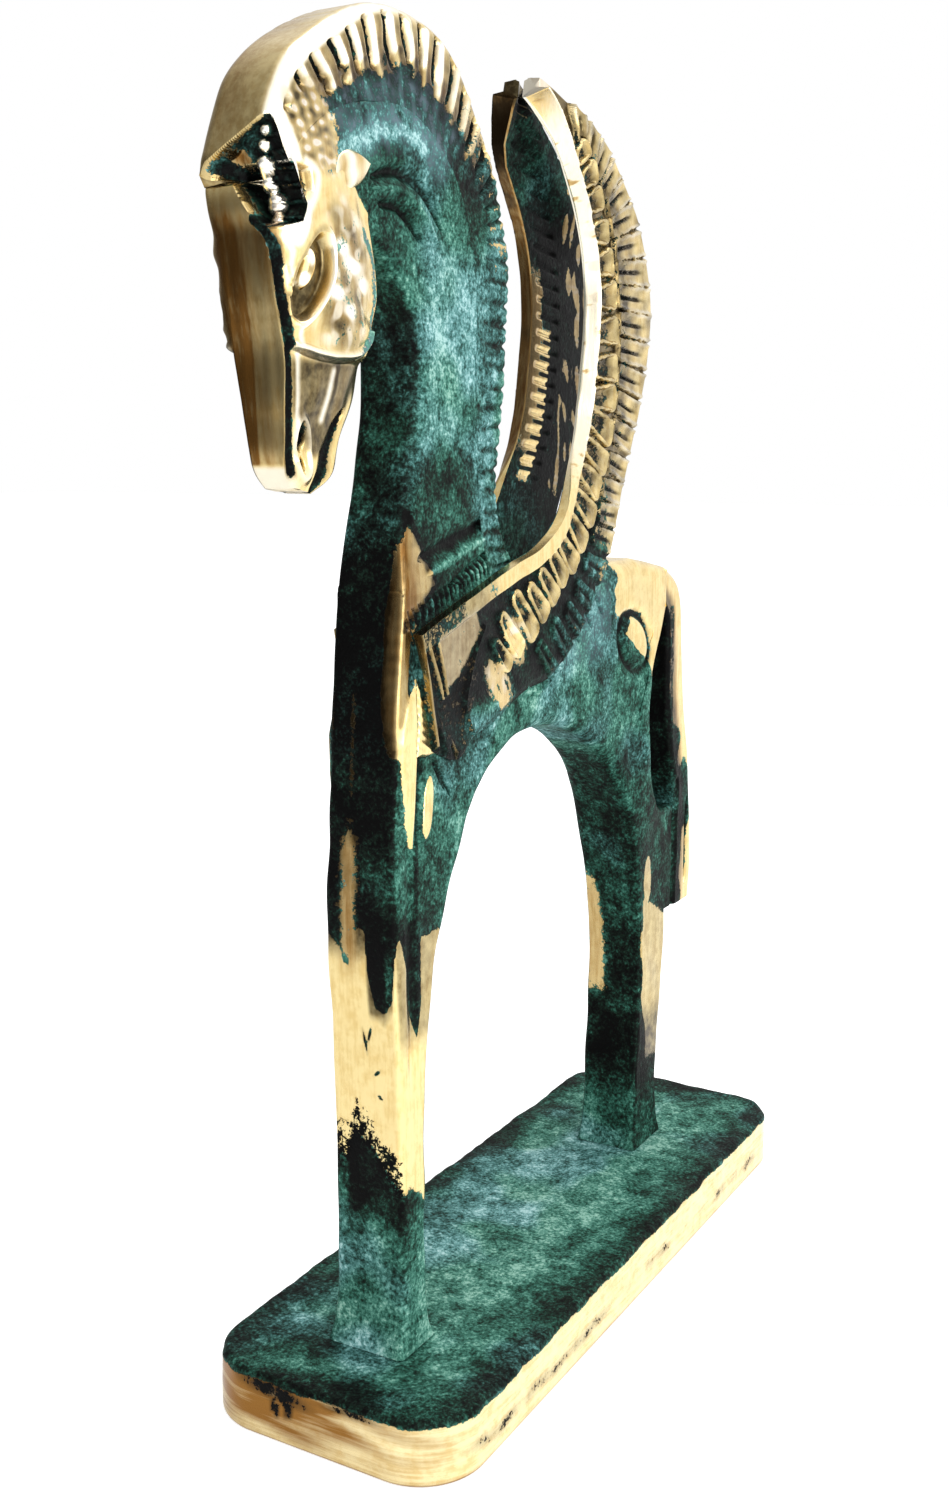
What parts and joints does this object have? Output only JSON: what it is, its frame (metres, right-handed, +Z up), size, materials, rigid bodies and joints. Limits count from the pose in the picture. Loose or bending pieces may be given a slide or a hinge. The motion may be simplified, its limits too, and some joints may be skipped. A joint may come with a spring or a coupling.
{
  "type": "winged horse statuette",
  "caption": "Slim archaic-style winged horse in patinated, rubbed bronze, standing on a flat plate with rounded corners; a shelf ornament or paperweight.",
  "frame": {"origin": "middle of the base plate's underside, on the surface that the statuette stands on", "axes": "+Z up, -Y the way the horse faces along the plate's length, +X to the horse's left"},
  "size_m": [0.033, 0.1094, 0.1483],
  "materials": {
    "polished_bronze": "polished and rubbed bright on the high spots, dark in the hollows",
    "patinated_bronze": "blue-green verdigris over dark brown, rubbed bright on the edges"
  },
  "bodies": {
    "root": {"base_plate": "patinated_bronze", "fore_leg": "polished_bronze", "chest": "patinated_bronze", "barrel": "patinated_bronze", "hindquarter": "patinated_bronze", "hind_leg": "patinated_bronze", "tail": "polished_bronze", "neck": "patinated_bronze", "mane": "polished_bronze", "head": "polished_bronze", "left_wing": "polished_bronze", "right_wing": "polished_bronze"}
  },
  "joints": []
}
